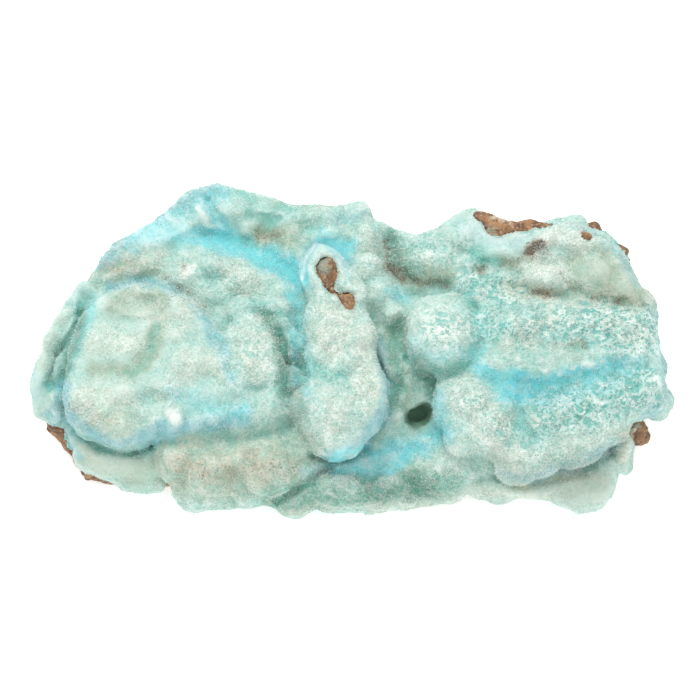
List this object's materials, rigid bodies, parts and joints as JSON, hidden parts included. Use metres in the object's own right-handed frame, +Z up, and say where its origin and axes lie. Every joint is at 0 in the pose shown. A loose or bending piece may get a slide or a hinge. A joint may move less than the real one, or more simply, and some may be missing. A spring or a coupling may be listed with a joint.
{
  "type": "blue aragonite specimen",
  "caption": "Hand specimen of blue aragonite: a thick, lumpy crystal crust grown over a thin slab of brown rock, made to lie flat on a table or shelf.",
  "frame": {"origin": "middle of the underside, on the surface that the specimen lies on", "axes": "+X to the right along the longest side, +Y away from the viewer, +Z up, the way the crust faces"},
  "size_m": [0.1198, 0.0654, 0.0268],
  "materials": {
    "blue_aragonite": "velvety crust of tiny crystals, white and cream on the lumps and clear blue in the valleys",
    "brown_rock": "rough, dull brown iron-stained rock"
  },
  "bodies": {
    "root": {"aragonite_crust": "blue_aragonite", "matrix_rock": "brown_rock"}
  },
  "joints": []
}
